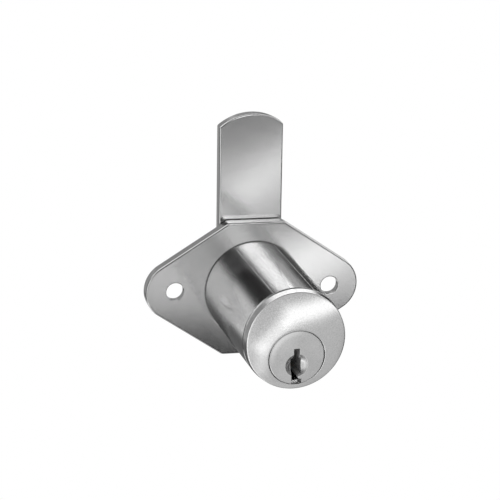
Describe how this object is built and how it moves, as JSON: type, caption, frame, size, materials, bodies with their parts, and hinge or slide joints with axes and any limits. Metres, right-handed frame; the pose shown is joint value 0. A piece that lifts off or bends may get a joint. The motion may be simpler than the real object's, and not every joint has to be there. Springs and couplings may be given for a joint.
{
  "type": "drawer lock",
  "caption": "Round pin tumbler drawer lock on a diamond screw plate, with a low-set key plug in a domed cap and a quarter-turn cam behind the plate.",
  "frame": {"origin": "on the barrel's axis at the plate's mounting face, midway between the screw holes", "axes": "+X across the plate through the screw holes, -Y out of the drawer front towards the key, +Z the way the cam points when locked"},
  "size_m": [0.0512, 0.0434, 0.0573],
  "materials": {
    "plate_finish": "satin chrome on pressed steel",
    "barrel_finish": "satin chrome over a fine-grained die casting",
    "cover_finish": "satin chrome over a fine-grained strip",
    "cap_finish": "soft satin chrome",
    "plug_finish": "satin nickel on brass",
    "cam_finish": "satin nickel on steel",
    "washer_finish": "zinc-plated spring steel",
    "screw_finish": "zinc-plated steel",
    "pin_brass": "turned brass",
    "spring_wire": "bright drawn wire"
  },
  "bodies": {
    "housing": {"flange": "plate_finish", "barrel": "barrel_finish", "chamber_cover": "cover_finish", "face_cap": "cap_finish", "pin_spring_1": "spring_wire", "pin_spring_2": "spring_wire", "pin_spring_3": "spring_wire", "pin_spring_4": "spring_wire", "pin_spring_5": "spring_wire"},
    "plug": {"plug": "plug_finish", "stop_washer": "washer_finish", "cam": "cam_finish", "lock_washer": "washer_finish", "cam_screw": "screw_finish"},
    "key_pin_1": {"key_pin_1": "pin_brass"},
    "driver_pin_1": {"driver_pin_1": "pin_brass"},
    "key_pin_2": {"key_pin_2": "pin_brass"},
    "driver_pin_2": {"driver_pin_2": "pin_brass"},
    "key_pin_3": {"key_pin_3": "pin_brass"},
    "driver_pin_3": {"driver_pin_3": "pin_brass"},
    "key_pin_4": {"key_pin_4": "pin_brass"},
    "driver_pin_4": {"driver_pin_4": "pin_brass"},
    "key_pin_5": {"key_pin_5": "pin_brass"},
    "driver_pin_5": {"driver_pin_5": "pin_brass"}
  },
  "joints": [
    {"name": "plug_turn", "type": "hinge", "parent": "housing", "child": "plug", "pos_m": [0.00017, 0, -0.0037], "axis": [0, 1, 0], "range_deg": [0, 90]},
    {"name": "key_pin_1_lift", "type": "slide", "parent": "plug", "child": "key_pin_1", "axis": [-0.0454, 0, 0.999], "range_m": [-0.00355, 0]},
    {"name": "driver_pin_1_lift", "type": "slide", "parent": "housing", "child": "driver_pin_1", "axis": [-0.0454, 0, 0.999], "range_m": [-0.00355, 0], "deforming": ["pin_spring_1"]},
    {"name": "key_pin_2_lift", "type": "slide", "parent": "plug", "child": "key_pin_2", "axis": [-0.0454, 0, 0.999], "range_m": [-0.00215, 0]},
    {"name": "driver_pin_2_lift", "type": "slide", "parent": "housing", "child": "driver_pin_2", "axis": [-0.0454, 0, 0.999], "range_m": [-0.00215, 0], "deforming": ["pin_spring_2"]},
    {"name": "key_pin_3_lift", "type": "slide", "parent": "plug", "child": "key_pin_3", "axis": [-0.0454, 0, 0.999], "range_m": [-0.00295, 0]},
    {"name": "driver_pin_3_lift", "type": "slide", "parent": "housing", "child": "driver_pin_3", "axis": [-0.0454, 0, 0.999], "range_m": [-0.00295, 0], "deforming": ["pin_spring_3"]},
    {"name": "key_pin_4_lift", "type": "slide", "parent": "plug", "child": "key_pin_4", "axis": [-0.0454, 0, 0.999], "range_m": [-0.00155, 0]},
    {"name": "driver_pin_4_lift", "type": "slide", "parent": "housing", "child": "driver_pin_4", "axis": [-0.0454, 0, 0.999], "range_m": [-0.00155, 0], "deforming": ["pin_spring_4"]},
    {"name": "key_pin_5_lift", "type": "slide", "parent": "plug", "child": "key_pin_5", "axis": [-0.0454, 0, 0.999], "range_m": [-0.00255, 0]},
    {"name": "driver_pin_5_lift", "type": "slide", "parent": "housing", "child": "driver_pin_5", "axis": [-0.0454, 0, 0.999], "range_m": [-0.00255, 0], "deforming": ["pin_spring_5"]}
  ],
  "couplings": [
    {"joint": "driver_pin_1_lift", "follows": "key_pin_1_lift", "ratio": 1},
    {"joint": "driver_pin_2_lift", "follows": "key_pin_2_lift", "ratio": 1},
    {"joint": "driver_pin_3_lift", "follows": "key_pin_3_lift", "ratio": 1},
    {"joint": "driver_pin_4_lift", "follows": "key_pin_4_lift", "ratio": 1},
    {"joint": "driver_pin_5_lift", "follows": "key_pin_5_lift", "ratio": 1}
  ]
}
